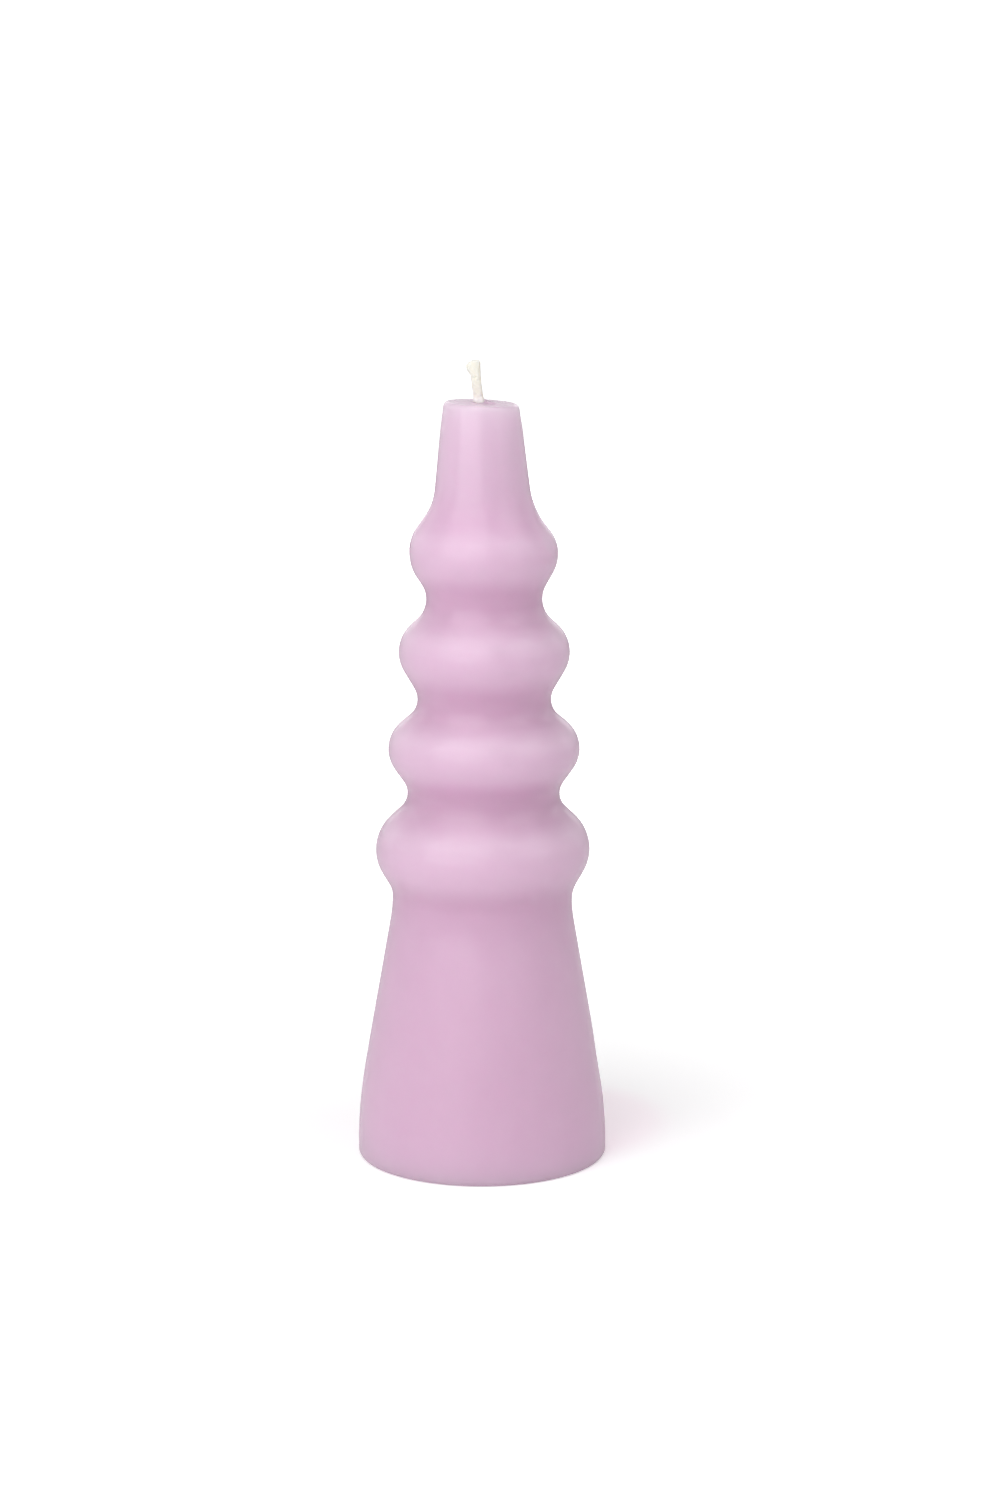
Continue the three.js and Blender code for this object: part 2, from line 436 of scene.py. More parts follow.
def waist_painted_shade(section):
    """For each point of the section, its share of the painted waist shade: 0 on the crown of a ring
    to 1 in the bottom of a waist.
    """
    outline = packed_outline()
    depths = []
    for spot in section:
        below = radius_at(outline, spot.y - WAIST_LOOK)
        above = radius_at(outline, spot.y + WAIST_LOOK)
        sunk = ((below + above) / 2 - radius_at(outline, spot.y)) / WAIST_DEPTH
        ringed = between(spot.y, WAIST_RISE, WAIST_FALL)
        depths.append(EVEN_TONE + ringed * clamp(WAIST_GAIN * sunk, -EVEN_TONE, 1 - EVEN_TONE))
    return depths


def slope_painted_highlight_shares(section):
    """For each point of the section, its share of the painted highlight, which gathers where the
    surface faces up.
    """
    shares = []
    for i, spot in enumerate(section):
        run = (section[(i + 1) % len(section)] - section[i - 1]).normalized()
        ringed = between(spot.y, SLOPE_HIGHLIGHT_RISE, SLOPE_HIGHLIGHT_FALL)
        shares.append(ringed * clamp(-run.x / SLOPE_HIGHLIGHT_STEEPNESS))
    return shares


def wax_body(material):
    """The moulded pillar, with the shares of its painted waist shade and painted slope highlight
    stored on its points.
    """
    section = wax_section()
    hollows = dents()
    vertices = []
    for spot in section:
        for side in range(WAX_SEGMENTS):
            angle = TURN * side / WAX_SEGMENTS
            turned = Vector((spot.x * math.cos(angle), spot.x * math.sin(angle), spot.y))
            vertices.append(cast(turned, hollows))
    faces = ring_faces(len(section), WAX_SEGMENTS, closed=True)
    piece = mesh_piece("wax_pillar", vertices, faces, material)
    for name, shares in (("painted_waist_shade", waist_painted_shade(section)), ("painted_slope_highlight", slope_painted_highlight_shares(section))):
        layer = piece.data.attributes.new(name, "FLOAT", "POINT")
        layer.data.foreach_set("value", [share for share in shares for _ in range(WAX_SEGMENTS)])
    return piece


# Wick.

WICK_SEGMENTS = 80
HIDDEN_STEP = 0.42 * MM
SEEN_STEP = 0.085 * MM
SEEN_FROM = WAX_TOP - 1 * MM

# The braid: strands that turn each way, with wax between them.
STRANDS = 8
BRAID_PITCH = 7.2 * MM
STRAND_HALF = 0.56 * MM
STRAND_BULGE = 0.15 * MM
STRAND_WEAVE = 0.05 * MM
STRAND_SEAT = 0.10 * MM
WAX_FILL = 0.06 * MM
CREASE_BLEND = 0.022 * MM
PLY_RIDGE = 0.018 * MM
PLIES_ACROSS = 1.6
PLY_TWIST = 9

# Where the braid has come loose below the cut: plies that run side by side.
LOOSE_RISE = (WICK_CUT - TIP_FLARE_HEIGHT, WICK_CUT - 1.9 * MM)
LOOSE_PLIES = 13
LOOSE_SEAT = 0.10 * MM
LOOSE_RIDGE = 0.07 * MM
LOOSE_WANDER = 0.35
LOOSE_LENGTH = 1.6 * MM

# Where the wick is thick with soaked wax, about its foot.
SOAKED = 0.30 * MM
SOAKED_RISE = (WAX_TOP - 3 * MM, WAX_TOP)
SOAKED_FALL = (WAX_TOP, WAX_TOP + 1.7 * MM)

# The cut end. The rings and plies are shares of its half width.
CUT_RINGS = (0.985, 0.95, 0.9, 0.83, 0.75, 0.66, 0.56, 0.45, 0.33, 0.21, 0.09)
CUT_SUNK = 0.12 * MM
CUT_SLOPE = 0.03
CUT_UNEVEN = 0.08 * MM
CUT_LAYER = 0.4
CUT_FINENESS = 2.2
TIP_ROUNDING = 0.30 * MM
TIP_ROUND_SHARE = 0.7
TIP_RIM_DROP = 0.14 * MM
TIP_PLIES = 26
PLY_SPREAD = 0.9
PLY_REACH = 0.2
PLY_DOME = 0.12 * MM
GOLDEN_ANGLE = 2.39996

# Loose fibres, at the tip and along the sides: (number, mm below the cut, how steeply they rise).
TIP_FIBRES = (14, (0.15, 0.7), (0.6, 1.8))
SIDE_FIBRES = (10, (1.2, 8.0), (0.5, 1.6))
FIBRE_SEED = 5
FIBRE_LENGTHS = (0.12, 0.26)
FIBRE_RADIUS = 0.018 * MM
FIBRE_TAPER = 0.15
FIBRE_CURL = 0.5
FIBRE_ROOT = 0.97
FIBRE_SIDES = 4


def wick_aside(height):
    """How far to the side the wick's middle stands, off centre and then leaning to -X."""
    share = clamp((height - BEND_HEIGHT) / (WICK_TOP - BEND_HEIGHT))
    off_centre = WICK_ASIDE * smooth_step(height, ASIDE_FROM, WAX_TOP)
    return -off_centre - WICK_LEAN * math.sin(math.pi / 2 * share)


def wick_splay(height):
    """How far the splayed tip stands out to -X at a height."""
    share = clamp((height - WICK_CUT + TIP_FLARE_HEIGHT) / TIP_FLARE_HEIGHT)
    return TIP_FLARE * math.sin(math.pi * share**TIP_FLARE_POWER)


def braid_relief(angle, height):
    """Height of the braid's surface: strands over and under each other, with wax between them."""
    turned = TURN * height / BRAID_PITCH
    slope = math.cos(math.atan(TURN * WICK_HALF / BRAID_PITCH))
    total = math.exp(WAX_FILL / CREASE_BLEND)
    for strand in range(STRANDS):
        way = 1 if strand % 2 == 0 else -1
        middle = way * turned + TURN * (strand // 2) / (STRANDS // 2)
        off = (angle - middle + math.pi) % TURN - math.pi
        across = off * WICK_HALF * slope / STRAND_HALF
        if abs(across) < 1:
            bulge = STRAND_BULGE * math.sqrt(1 - across * across)
            plies = PLY_RIDGE * math.cos(TURN * across * PLIES_ACROSS + PLY_TWIST * turned)
            weave = way * STRAND_WEAVE * math.cos(STRANDS // 2 * turned)
            total += math.exp((bulge + plies + weave) / CREASE_BLEND)
    return CREASE_BLEND * math.log(total)


def loose_relief(angle, height):
    """Height of the surface where the braid has come loose."""
    wander = LOOSE_WANDER * noise_round(angle, height / LOOSE_LENGTH)
    return LOOSE_SEAT + LOOSE_RIDGE * abs(math.cos(LOOSE_PLIES / 2 * (angle + wander)))


def wick_edge(angle, height, shrink=1.0):
    """Point of the wick's surface, or nearer to its middle when shrink is below 1."""
    loose = smooth_step(height, *LOOSE_RISE)
    relief = braid_relief(angle, height) * (1 - loose) + loose_relief(angle, height) * loose
    soaked = SOAKED * between(height, SOAKED_RISE, SOAKED_FALL)
    reach = squared(angle) * (WICK_HALF - STRAND_SEAT + relief + soaked)
    splay = wick_splay(height)
    wide = shrink * reach * math.cos(angle) * (1 + splay / 2 / WICK_HALF)
    deep = shrink * reach * math.sin(angle)
    return Vector((wick_aside(height) + bow(height) - splay / 2 + wide, deep, height))


def ply_ends():
    """Where the plies end in the cut, spread evenly over it."""
    ends = []
    for ply in range(TIP_PLIES):
        share = math.sqrt((ply + 0.5) / TIP_PLIES) * PLY_SPREAD
        turn = ply * GOLDEN_ANGLE
        ends.append(Vector((share * math.cos(turn), share * math.sin(turn))))
    return ends


def cut_end():
    """Rings that close the cut end, from its rim to its middle, with a low dome on each ply."""
    ends = ply_ends()
    rings = []
    for share in CUT_RINGS:
        rim_share = smooth_step(share, TIP_ROUND_SHARE, 1.0)
        fall = -TIP_ROUNDING * (1 - math.sqrt(1 - rim_share**2))
        ring = []
        for side in range(WICK_SEGMENTS):
            angle = TURN * side / WICK_SEGMENTS
            spot = Vector((share * math.cos(angle), share * math.sin(angle)))
            nearest = min((spot - end).length for end in ends)
            domed = nearest < PLY_REACH and share < PLY_SPREAD
            dome = PLY_DOME * (1 - (nearest / PLY_REACH) ** 2) if domed else 0.0
            noise_spot = Vector((spot.x, spot.y, CUT_LAYER)) * CUT_FINENESS
            uneven = CUT_UNEVEN * noise.noise(noise_spot)
            point = wick_edge(angle, WICK_CUT, share)
            point.z += dome + fall + uneven + CUT_SLOPE * spot.x * MM - CUT_SUNK
            ring.append(point)
        rings.append(ring)
    return rings


def wick(material):
    """The whole wick as one waxed braid: hidden in the wax, then up to its splayed, cut end."""
    levels = heights(WICK_FOOT, SEEN_FROM, HIDDEN_STEP)
    levels += heights(SEEN_FROM, WICK_CUT - TIP_ROUNDING - TIP_RIM_DROP, SEEN_STEP)[1:]
    vertices = []
    for height in levels:
        for side in range(WICK_SEGMENTS):
            vertices.append(wick_edge(TURN * side / WICK_SEGMENTS, height))
    for ring in cut_end():
        vertices.extend(ring)
    ring_count = len(vertices) // WICK_SEGMENTS
    faces = ring_faces(ring_count, WICK_SEGMENTS)
    faces.append(tuple(reversed(range(WICK_SEGMENTS))))
    faces.append(tuple(range((ring_count - 1) * WICK_SEGMENTS, ring_count * WICK_SEGMENTS)))
    add_fibres(vertices, faces)
    return mesh_piece("braided_wick", vertices, faces, material)


def heights(low, high, step):
    """Heights from low to high, evenly about a step apart."""
    count = max(2, round((high - low) / step))
    return [low + (high - low) * i / count for i in range(count + 1)]


def add_fibres(vertices, faces):
    """Adds the loose fibres: a small tuft at the cut end and a few along the sides."""
    draw = random.Random(FIBRE_SEED)
    for number, below, lift in (TIP_FIBRES, SIDE_FIBRES):
        for _ in range(number):
            height = WICK_CUT - draw.uniform(*below) * MM
            root = wick_edge(draw.uniform(0, TURN), height, FIBRE_ROOT)
            middle = Vector((wick_aside(height) - wick_splay(height) / 2, 0, height))
            outward = (root - middle).normalized()
            way = (outward + Vector((0, 0, draw.uniform(*lift)))).normalized()
            length = draw.uniform(*FIBRE_LENGTHS) * MM
            bend = Vector((draw.uniform(-1, 1), draw.uniform(-1, 1), draw.uniform(-0.5, 0)))
            curl = bend * length * FIBRE_CURL
            line = [root + way * length * t + curl * t * t for t in (0, 0.25, 0.5, 0.75, 1)]
            radii = [FIBRE_RADIUS * (1 - FIBRE_TAPER * i) for i in range(len(line))]
            add_tube(vertices, faces, line, radii, FIBRE_SIDES)


def add_tube(vertices, faces, points, radii, sides):
    """Adds a closed tube along points to a mesh."""
    first, count = len(vertices), len(points)
    for i, point in enumerate(points):
        tangent = (points[min(i + 1, count - 1)] - points[max(i - 1, 0)]).normalized()
        across = (Vector((0, 1, 0)) - tangent * tangent.y).normalized()
        other = tangent.cross(across)
        for side in range(sides):
            angle = TURN * side / sides
            aside = other * math.cos(angle) + across * math.sin(angle)
            vertices.append(point + aside * radii[i])
    faces.extend(ring_faces(count, sides, first))
    faces.append(tuple(first + i for i in reversed(range(sides))))
    faces.append(tuple(first + i for i in range((count - 1) * sides, count * sides)))


# Wick tab.

TAB_SEGMENTS = 96
SHEET = 0.4 * MM
SHEET_ROUNDING = 0.22 * MM
SHEET_STEP = 0.18 * MM
RING_FOOT_RADII = (6.1 * MM, 7.6 * MM)
RING_CREST_RADII = (6.5 * MM, 7.2 * MM)
RING_RISE = 0.14 * MM
DOME_FOOT_RADIUS = 5.0 * MM
DOME_TOP_RADIUS = 4.4 * MM
DOME_TOP = TAB_BOTTOM + SHEET + 0.6 * MM
NECK_BORE = WICK_HALF + 0.62 * MM
CRIMP_BORE = WICK_HALF + 0.12 * MM
CRIMP_HEIGHT = TAB_TOP - 1.6 * MM
CRIMP_HALF = 0.8 * MM
PINCHES = 4
PINCH_DEPTH = 0.05
PINCH_RISE = (TAB_TOP - 3.2 * MM, CRIMP_HEIGHT)


def neck_side(thickness):
    """Points up the neck with its crimp, at a thickness of sheet out from the bore."""
    return [
        Vector((NECK_BORE + thickness, CRIMP_HEIGHT - CRIMP_HALF)),
        Vector((CRIMP_BORE + thickness, CRIMP_HEIGHT)),
        Vector((NECK_BORE + thickness, CRIMP_HEIGHT + CRIMP_HALF)),
        Vector((NECK_BORE + thickness, TAB_TOP)),
    ]


def tab_section():
    """The closed section of the tab's sheet: disc with a pressed ring, dome and crimped neck."""
    lower = [
        Vector((TAB_RADIUS, TAB_BOTTOM)),
        Vector((RING_FOOT_RADII[1], TAB_BOTTOM)),
        Vector((RING_CREST_RADII[1], TAB_BOTTOM + RING_RISE)),
        Vector((RING_CREST_RADII[0], TAB_BOTTOM + RING_RISE)),
        Vector((RING_FOOT_RADII[0], TAB_BOTTOM)),
        Vector((DOME_FOOT_RADIUS, TAB_BOTTOM)),
        Vector((DOME_TOP_RADIUS, DOME_TOP - SHEET)),
        Vector((NECK_BORE, DOME_TOP - SHEET)),
    ]
    upper = [
        Vector((NECK_BORE + SHEET, DOME_TOP)),
        Vector((DOME_TOP_RADIUS, DOME_TOP)),
        Vector((DOME_FOOT_RADIUS, TAB_BOTTOM + SHEET)),
        Vector((TAB_RADIUS, TAB_BOTTOM + SHEET)),
        Vector((TAB_RADIUS, TAB_BOTTOM)),
    ]
    corners = lower + neck_side(0) + neck_side(SHEET)[::-1] + upper
    return along(rounded(corners, SHEET_ROUNDING, 4), SHEET_STEP)[:-1]


def wick_tab(material):
    """The pressed tab, its neck pinched on to the wick."""
    section = tab_section()
    vertices = []
    for spot in section:
        pinch = smooth_step(spot.y, *PINCH_RISE)
        for side in range(TAB_SEGMENTS):
            angle = TURN * side / TAB_SEGMENTS
            radius = spot.x * (1 - PINCH_DEPTH * pinch * (1 + math.cos(PINCHES * angle)) / 2)
            vertices.append(Vector((radius * math.cos(angle), radius * math.sin(angle), spot.y)))
    faces = ring_faces(len(section), TAB_SEGMENTS, closed=True)
    return mesh_piece("crimped_tab", vertices, [tuple(reversed(face)) for face in faces], material)


# Shader node helpers.


def node(tree, kind, **settings):
    """A new node with its settings."""
    made = tree.nodes.new(kind)
    for name, value in settings.items():
        setattr(made, name, value)
    return made


def feed(tree, target, value):
    """Links a socket to an input, or sets the input's own value."""
    if isinstance(value, bpy.types.NodeSocket):
        tree.links.new(value, target)
    else:
        target.default_value = value


def math_node(tree, operation, first, second):
    """The outcome of a sum on two values."""
    made = node(tree, "ShaderNodeMath", operation=operation)
    feed(tree, made.inputs[0], first)
    feed(tree, made.inputs[1], second)
    return made.outputs[0]


def noise_node(tree, place, scale, detail, roughness=0.5):
    """Soft noise from 0 to 1; a larger scale makes it finer."""
    made = node(tree, "ShaderNodeTexNoise")
    feed(tree, made.inputs["Vector"], place)
    feed(tree, made.inputs["Scale"], scale)
    made.inputs["Detail"].default_value = detail
    made.inputs["Roughness"].default_value = roughness
    return made.outputs["Fac"]


def range_node(tree, value, low, high, to_low=0.0, to_high=1.0):
    """A value carried from one range to another, and held at its ends."""
    made = node(tree, "ShaderNodeMapRange", clamp=True)
    feed(tree, made.inputs["Value"], value)
    feed(tree, made.inputs["From Min"], low)
    feed(tree, made.inputs["From Max"], high)
    feed(tree, made.inputs["To Min"], to_low)
    feed(tree, made.inputs["To Max"], to_high)
    return made.outputs["Result"]


def mix_colour(tree, share, first, second, blend="MIX"):
    """The first colour, with a share of the second mixed in."""
    made = node(tree, "ShaderNodeMix", data_type="RGBA", blend_type=blend)
    feed(tree, made.inputs[0], share)
    feed(tree, made.inputs[6], first)
    feed(tree, made.inputs[7], second)
    return made.outputs[2]


def object_place(tree):
    """The place on the piece, in metres."""
    return node(tree, "ShaderNodeTexCoord").outputs["Object"]


def stored(tree, name):
    """A value stored on the piece's points."""
    return node(tree, "ShaderNodeAttribute", attribute_name=name).outputs["Fac"]


def bump(tree, height, distance):
    """A normal that follows a height, with the distance that a height of 1 stands for."""
    made = node(tree, "ShaderNodeBump")
    made.inputs["Distance"].default_value = distance
    tree.links.new(height, made.inputs["Height"])
    return made.outputs["Normal"]


def new_group(name, inputs, outputs):
    """An empty node group with named inputs and outputs; returns it with its two end nodes."""
    group = bpy.data.node_groups.new(name, "ShaderNodeTree")
    for label, kind, value in inputs:
        socket = group.interface.new_socket(label, in_out="INPUT", socket_type=kind)
        socket.default_value = value
    for label, kind in outputs:
        group.interface.new_socket(label, in_out="OUTPUT", socket_type=kind)
    return group, node(group, "NodeGroupInput"), node(group, "NodeGroupOutput")


def use_group(tree, group, **values):
    """Places a group, with its inputs named in lower case with underscores."""
    made = node(tree, "ShaderNodeGroup", node_tree=group)
    for name, value in values.items():
        feed(tree, made.inputs[name.replace("_", " ").capitalize()], value)
    return made


def clouding_group():
    """Slow, soft variation of a colour, with its mask."""
    group, given, result = new_group(
        "Clouding",
        [
            ("Light colour", "NodeSocketColor", (1, 1, 1, 1)),
            ("Deep colour", "NodeSocketColor", (0.8, 0.8, 0.8, 1)),
            ("Size", "NodeSocketFloat", 60.0),
            ("Strength", "NodeSocketFloat", 0.5),
        ],
        [("Colour", "NodeSocketColor"), ("Mask", "NodeSocketFloat")],
    )
    finer = 5.3
    broad_share, fine_share = 0.7, 0.3
    mask_range = (0.36, 0.64)
    place = object_place(group)
    broad = noise_node(group, place, given.outputs["Size"], 2.5, 0.55)
    fine_size = math_node(group, "MULTIPLY", given.outputs["Size"], finer)
    fine = noise_node(group, place, fine_size, 3.0, 0.6)
    broad_part = math_node(group, "MULTIPLY", broad, broad_share)
    fine_part = math_node(group, "MULTIPLY", fine, fine_share)
    both = math_node(group, "ADD", broad_part, fine_part)
    mask = range_node(group, both, *mask_range)
    share = math_node(group, "MULTIPLY", mask, given.outputs["Strength"])
    light, deep = given.outputs["Light colour"], given.outputs["Deep colour"]
    group.links.new(mix_colour(group, share, light, deep), result.inputs["Colour"])
    group.links.new(mask, result.inputs["Mask"])
    return group


def fine_skin_group():
    """Height of a fine grain with a scatter of pinholes in it, and the pinholes' mask."""
    group, given, result = new_group(
        "Fine skin",
        [
            ("Grain size", "NodeSocketFloat", 900.0),
            ("Grain height", "NodeSocketFloat", 0.3),
            ("Pinhole size", "NodeSocketFloat", 260.0),
            ("Pinhole depth", "NodeSocketFloat", 1.0),
        ],
        [("Height", "NodeSocketFloat"), ("Pinholes", "NodeSocketFloat")],
    )
    chosen_above = 0.93
    hole_reach = 0.12
    place = object_place(group)
    grain = noise_node(group, place, given.outputs["Grain size"], 3.0, 0.55)
    cells = node(group, "ShaderNodeTexVoronoi", feature="F1")
    feed(group, cells.inputs["Vector"], place)
    feed(group, cells.inputs["Scale"], given.outputs["Pinhole size"])
    chosen = node(group, "ShaderNodeSeparateColor")
    group.links.new(cells.outputs["Color"], chosen.inputs["Color"])
    rare = math_node(group, "GREATER_THAN", chosen.outputs["Red"], chosen_above)
    hole = range_node(group, cells.outputs["Distance"], 0.0, hole_reach, 1.0, 0.0)
    holes = math_node(group, "MULTIPLY", hole, rare)
    raised = math_node(group, "MULTIPLY", grain, given.outputs["Grain height"])
    sunk = math_node(group, "MULTIPLY", holes, given.outputs["Pinhole depth"])
    height = math_node(group, "SUBTRACT", raised, sunk)
    group.links.new(height, result.inputs["Height"])
    group.links.new(holes, result.inputs["Pinholes"])
    return group


def wax_film_and_top_highlight_group():
    """A mask full below a height, with a ragged edge: where wax has soaked or smeared over a
    material, and, turned round, where the top of the wax gets its painted highlight.
    """
    group, given, result = new_group(
        "Wax film and top highlight",
        [
            ("Full below", "NodeSocketFloat", 0.18),
            ("Gone above", "NodeSocketFloat", 0.183),
            ("Ragged", "NodeSocketFloat", 0.001),
            ("Patch size", "NodeSocketFloat", 900.0),
        ],
        [("Mask", "NodeSocketFloat")],
    )
    place = object_place(group)
    split = node(group, "ShaderNodeSeparateXYZ")
    group.links.new(place, split.inputs["Vector"])
    patches = noise_node(group, place, given.outputs["Patch size"], 2.0)
    wander = math_node(group, "SUBTRACT", patches, 0.5)
    shift = math_node(group, "MULTIPLY", wander, given.outputs["Ragged"])
    height = math_node(group, "ADD", split.outputs["Z"], shift)
    full_below, gone_above = given.outputs["Full below"], given.outputs["Gone above"]
    mask = range_node(group, height, full_below, gone_above, 1.0, 0.0)
    group.links.new(mask, result.inputs["Mask"])
    return group


# Materials.

clouding = clouding_group()
fine_skin = fine_skin_group()
wax_film_and_top_highlight = wax_film_and_top_highlight_group()

WAX_CROWN = (0.760, 0.529, 0.689, 1)
# The darker wax tone below is painted shade, for the waists and the pinholes.
WAX_PAINTED_SHADE = (0.722, 0.472, 0.645, 1)
WAX_CLOUD = (0.93, 0.89, 0.925, 1)
# The whitish tone and the shares below are painted highlights: on the top of the wax and on the
# slopes that face up.
WAX_PAINTED_HIGHLIGHT = (0.75, 0.66, 0.72, 1)
TOP_PAINTED_HIGHLIGHT = 0.23
SLOPE_PAINTED_HIGHLIGHT = 0.15
PINHOLE_SHADE = 0.35
WAX_ROUGHNESS = (0.21, 0.25)
WAX_RELIEF = 0.06 * MM
WAX_SCATTER = (0.85, (1.0, 0.90, 0.95), 20 * MM)
WAX_BENDS_LIGHT = 1.44

COTTON_CREAM = (0.93, 0.905, 0.81, 1)
COTTON_SHADOW = (0.90, 0.87, 0.765, 1)
COTTON_SOAKED = (0.95, 0.86, 0.85, 1)
SOAKED_SHARE = 0.8
YARN_ROUGHNESS = (0.62, 0.40)
YARN_RELIEF = 0.02 * MM
YARN_SCATTER = (0.75, (1.0, 0.95, 0.85), 1.8 * MM)

TIN_BRIGHT = (0.78, 0.79, 0.80, 1)
TIN_DULL = (0.60, 0.61, 0.63, 1)
TIN_ROUGHNESS = (0.28, 0.42)
TIN_RELIEF = 0.02 * MM
SMEAR_EDGE = (0.35, 0.75)


def empty_material(name):
    """A new material with no nodes, and its node tree."""
    material = bpy.data.materials.new(name)
    material.use_nodes = True
    material.node_tree.nodes.clear()
    return material, material.node_tree


def shaded_material(name):
    """A new material with one shader, its node tree and that shader."""
    material, tree = empty_material(name)
    shader = node(tree, "ShaderNodeBsdfPrincipled")
    output = node(tree, "ShaderNodeOutputMaterial")
    tree.links.new(shader.outputs[0], output.inputs["Surface"])
    return material, tree, shader


def scatter(shader, weight, radius, scale):
    """Lets light wander inside: how much of it, how far each colour goes, and its length."""
    shader.inputs["Subsurface Weight"].default_value = weight
    shader.inputs["Subsurface Radius"].default_value = radius
    shader.inputs["Subsurface Scale"].default_value = scale


def wax_material():
    """Lilac wax: cloudy and translucent, with a satin skin and pinholes; painted shade in the
    waists and pinholes, and painted highlights on the top and on the slopes that face up.
    """
    material, tree, shader = shaded_material("Lilac wax")
    # Painted shade in the waists: the wax is mixed towards its darker tone where the outline sinks.
    tone = mix_colour(tree, stored(tree, "painted_waist_shade"), WAX_CROWN, WAX_PAINTED_SHADE)
    deep = mix_colour(tree, 1.0, tone, WAX_CLOUD, "MULTIPLY")
    cloud = use_group(
        tree, clouding, light_colour=tone, deep_colour=deep, size=38.0, strength=0.45
    )
    skin = use_group(
        tree, fine_skin, grain_size=260.0, grain_height=0.25, pinhole_size=150.0, pinhole_depth=0.6
    )
    # Painted shade in the pinholes: their colour is mixed towards the darker wax tone.
    shade = math_node(tree, "MULTIPLY", skin.outputs["Pinholes"], PINHOLE_SHADE)
    pitted = mix_colour(tree, shade, cloud.outputs["Colour"], WAX_PAINTED_SHADE)
    # Painted highlight towards the top of the wax, faded in below it by a ragged height mask.
    low = use_group(
        tree, wax_film_and_top_highlight, full_below=WAX_TOP - 30 * MM, gone_above=WAX_TOP - 2 * MM, patch_size=300.0
    )
    top_highlight_share = range_node(tree, low.outputs["Mask"], 0, 1, TOP_PAINTED_HIGHLIGHT, 0.0)
    # Painted highlight on the slopes of the rings that face up.
    painted_slope_highlight = math_node(tree, "MULTIPLY", stored(tree, "painted_slope_highlight"), SLOPE_PAINTED_HIGHLIGHT)
    painted_highlight_share = math_node(tree, "ADD", top_highlight_share, painted_slope_highlight)
    # The wax is paled towards the whitish tone by both painted highlights.
    colour = mix_colour(tree, painted_highlight_share, pitted, WAX_PAINTED_HIGHLIGHT)
    roughness = range_node(tree, cloud.outputs["Mask"], 0, 1, *WAX_ROUGHNESS)
    tree.links.new(colour, shader.inputs["Base Color"])
    tree.links.new(roughness, shader.inputs["Roughness"])
    tree.links.new(bump(tree, skin.outputs["Height"], WAX_RELIEF), shader.inputs["Normal"])
    scatter(shader, *WAX_SCATTER)
    shader.inputs["IOR"].default_value = WAX_BENDS_LIGHT
    return material


def cotton_material():
    """Cream cotton yarn primed with wax, soaked with lilac wax at its foot."""
    material, tree, shader = shaded_material("Cream cotton braid")
    cloud = use_group(
        tree,
        clouding,
        light_colour=COTTON_CREAM,
        deep_colour=COTTON_SHADOW,
        size=900.0,
        strength=0.5,
    )
    film = use_group(
        tree, wax_film_and_top_highlight, full_below=WAX_TOP + 0.3 * MM, gone_above=WAX_TOP + 2.6 * MM, ragged=2 * MM
    )
    soaked = math_node(tree, "MULTIPLY", film.outputs["Mask"], SOAKED_SHARE)
    colour = mix_colour(tree, soaked, cloud.outputs["Colour"], COTTON_SOAKED)
    roughness = range_node(tree, film.outputs["Mask"], 0, 1, *YARN_ROUGHNESS)
    skin = use_group(
        tree, fine_skin, grain_size=9000.0, grain_height=1.0, pinhole_size=2000.0, pinhole_depth=0.2
    )
    tree.links.new(colour, shader.inputs["Base Color"])
    tree.links.new(roughness, shader.inputs["Roughness"])
    tree.links.new(bump(tree, skin.outputs["Height"], YARN_RELIEF), shader.inputs["Normal"])
    scatter(shader, *YARN_SCATTER)
    return material


def tinplate_material():
    """Pressed tinplate with a brushed sheen and wax smears round its edge."""
    material, tree, shader = shaded_material("Pressed tinplate")
    cloud = use_group(
        tree, clouding, light_colour=TIN_BRIGHT, deep_colour=TIN_DULL, size=420.0, strength=0.6
    )
    film = use_group(
        tree, wax_film_and_top_highlight, full_below=-1 * MM, gone_above=TAB_BOTTOM + 0.9 * MM, ragged=3 * MM
    )
    smear = range_node(tree, film.outputs["Mask"], *SMEAR_EDGE)
    colour = mix_colour(tree, smear, cloud.outputs["Colour"], WAX_CROWN)
    metallic = range_node(tree, smear, 0, 1, 1.0, 0.0)
    roughness = range_node(tree, cloud.outputs["Mask"], 0, 1, *TIN_ROUGHNESS)
    skin = use_group(
        tree, fine_skin, grain_size=2600.0, grain_height=0.5, pinhole_size=900.0, pinhole_depth=0.5
    )
    tree.links.new(colour, shader.inputs["Base Color"])
    tree.links.new(metallic, shader.inputs["Metallic"])
    tree.links.new(roughness, shader.inputs["Roughness"])
    tree.links.new(bump(tree, skin.outputs["Height"], TIN_RELIEF), shader.inputs["Normal"])
    return material


# Studio: floor, light and camera.

# What the paper throws back on the candle, and how bright it looks near and far: its glow as seen
# is dimmer near the candle, a painted shade on top of the lamps' real shadow.
PAPER_WHITE = 0.9
PAPER_BOUNCE = 0.05
PAPER_UNDER_BASE = 0.14
UNDER_BASE = (27 * MM, 29 * MM)
PAPER_GLOW_NEAR = 0.33
PAPER_GLOW_FAR = 1.05

# The soft shade behind the candle and the lilac light that the wax casts on the paper, both painted
# on the paper.
SHADE_BEHIND = 28 * MM
SHADE_REACH = (35 * MM, 400 * MM)
LILAC_CAST = (1.0, 0.93, 0.965, 1)
LILAC_CAST_MIDDLE = (10 * MM, 24 * MM, 0)
LILAC_CAST_REACH = (31 * MM, 38 * MM)

FLOOR_RINGS = (0.01, 0.02, 0.04, 0.10, 0.30, 1.00, 4.00)
FLOOR_SIDES = 48
FLOOR_DROP = 0.05 * MM

ROOM_LIGHT = 0.16
ROOM_SEEN = 1.1

